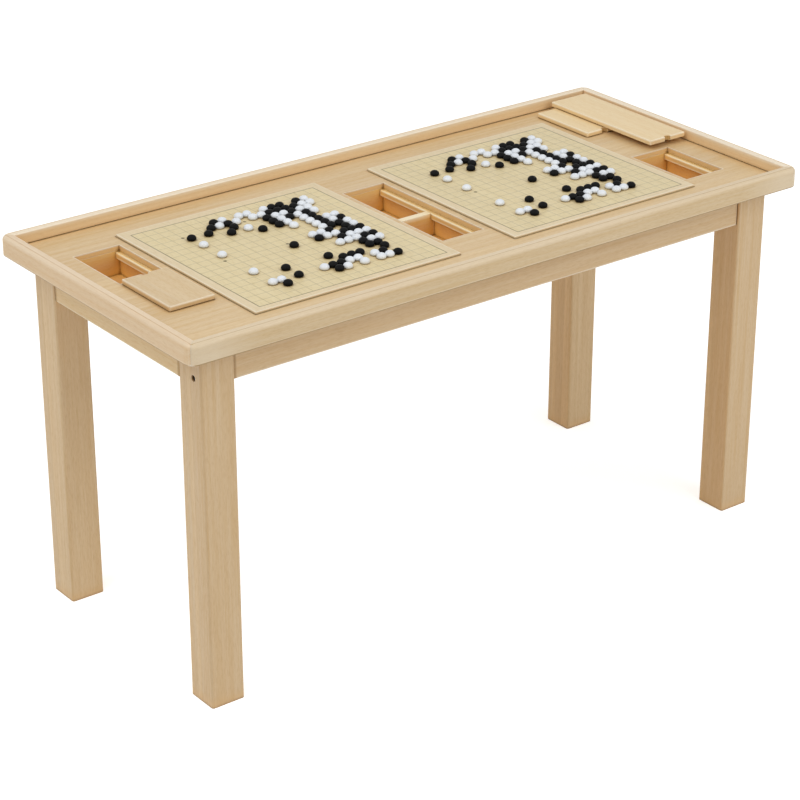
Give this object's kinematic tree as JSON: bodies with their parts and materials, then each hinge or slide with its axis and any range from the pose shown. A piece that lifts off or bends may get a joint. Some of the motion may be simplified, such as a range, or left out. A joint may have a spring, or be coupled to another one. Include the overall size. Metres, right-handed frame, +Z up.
{
  "type": "weiqi game table",
  "caption": "Long table with a raised rim round a deck that holds drop-in grid boards with stones, and lidded wells beside them.",
  "frame": {"origin": "middle of the table on the floor, below the middle of the top", "axes": "+X along the table to its right end, +Y across it to the back, +Z up; the front apron and the bolted front legs are at -Y, the left well is at -X towards the back"},
  "size_m": [1.44, 0.648, 0.75],
  "materials": {
    "frame_wood": "satin clear lacquer on pale rubberwood",
    "rim_wood": "satin clear lacquer on pale rubberwood",
    "deck_wood": "satin clear lacquer on pale rubberwood",
    "board_wood": "satin lacquer over a printed grid",
    "lid_wood": "satin clear lacquer on pale rubberwood",
    "well_wood": "satin clear lacquer, warmer wood",
    "steel": "zinc plated",
    "dark_steel": "blackened, dull",
    "black_stone": "dull polished, opaque",
    "white_stone": "dull polished, opaque"
  },
  "bodies": {
    "table": {"rim_front": "rim_wood", "rim_back": "rim_wood", "rim_left": "rim_wood", "rim_right": "rim_wood", "rim_splines": "deck_wood", "deck_panel": "deck_wood", "leg_front_left": "frame_wood", "leg_front_right": "frame_wood", "leg_back_left": "frame_wood", "leg_back_right": "frame_wood", "apron_front": "frame_wood", "apron_back": "frame_wood", "apron_left": "frame_wood", "apron_right": "frame_wood", "bearer_end_left": "deck_wood", "bearer_mid_left": "deck_wood", "bearer_mid_right": "deck_wood", "bearer_end_right": "deck_wood", "left_well_outer_side": "well_wood", "left_well_inner_side": "well_wood", "left_well_front_end": "well_wood", "left_well_back_end": "well_wood", "left_well_floor": "well_wood", "left_well_outer_ledge": "well_wood", "left_well_inner_ledge": "well_wood", "right_well_outer_side": "well_wood", "right_well_inner_side": "well_wood", "right_well_front_end": "well_wood", "right_well_back_end": "well_wood", "right_well_floor": "well_wood", "right_well_outer_ledge": "well_wood", "right_well_inner_ledge": "well_wood", "mid_well_left_side": "well_wood", "mid_well_right_side": "well_wood", "mid_well_front_end": "well_wood", "mid_well_back_end": "well_wood", "mid_well_floor": "well_wood", "mid_well_left_ledge": "well_wood", "mid_well_right_ledge": "well_wood", "mid_well_divider": "well_wood", "leg_bolts": "dark_steel", "barrel_nuts": "steel", "deck_screws": "steel", "floor_screws": "steel"},
    "board_left": {"board_left": "board_wood"},
    "board_right": {"board_right": "board_wood"},
    "lid_left": {"lid_left": "lid_wood"},
    "lid_right": {"lid_right": "lid_wood"},
    "lid_long": {"lid_long": "lid_wood"},
    "black_stones_left": {"black_stones_left": "black_stone"},
    "white_stones_left": {"white_stones_left": "white_stone"},
    "black_stones_right": {"black_stones_right": "black_stone"},
    "white_stones_right": {"white_stones_right": "white_stone"}
  },
  "joints": [
    {"name": "board_left_lift", "type": "slide", "parent": "table", "child": "board_left", "axis": [0, 0, 1], "range_m": [0, 0.08]},
    {"name": "board_right_lift", "type": "slide", "parent": "table", "child": "board_right", "axis": [0, 0, 1], "range_m": [0, 0.08]},
    {"name": "black_stones_left_lift", "type": "slide", "parent": "board_left", "child": "black_stones_left", "axis": [0, 0, 1], "range_m": [0, 0.05]},
    {"name": "white_stones_left_lift", "type": "slide", "parent": "board_left", "child": "white_stones_left", "axis": [0, 0, 1], "range_m": [0, 0.05]},
    {"name": "black_stones_right_lift", "type": "slide", "parent": "board_right", "child": "black_stones_right", "axis": [0, 0, 1], "range_m": [0, 0.05]},
    {"name": "white_stones_right_lift", "type": "slide", "parent": "board_right", "child": "white_stones_right", "axis": [0, 0, 1], "range_m": [0, 0.05]},
    {"name": "lid_left_slide", "type": "slide", "parent": "table", "child": "lid_left", "axis": [0, 1, 0], "range_m": [-0.168, 0.164]},
    {"name": "lid_right_slide", "type": "slide", "parent": "table", "child": "lid_right", "axis": [0, -1, 0], "range_m": [-0.0135, 0.276]},
    {"name": "lid_long_lift", "type": "slide", "parent": "lid_right", "child": "lid_long", "axis": [0, 0, 1], "range_m": [0, 0.12]}
  ]
}
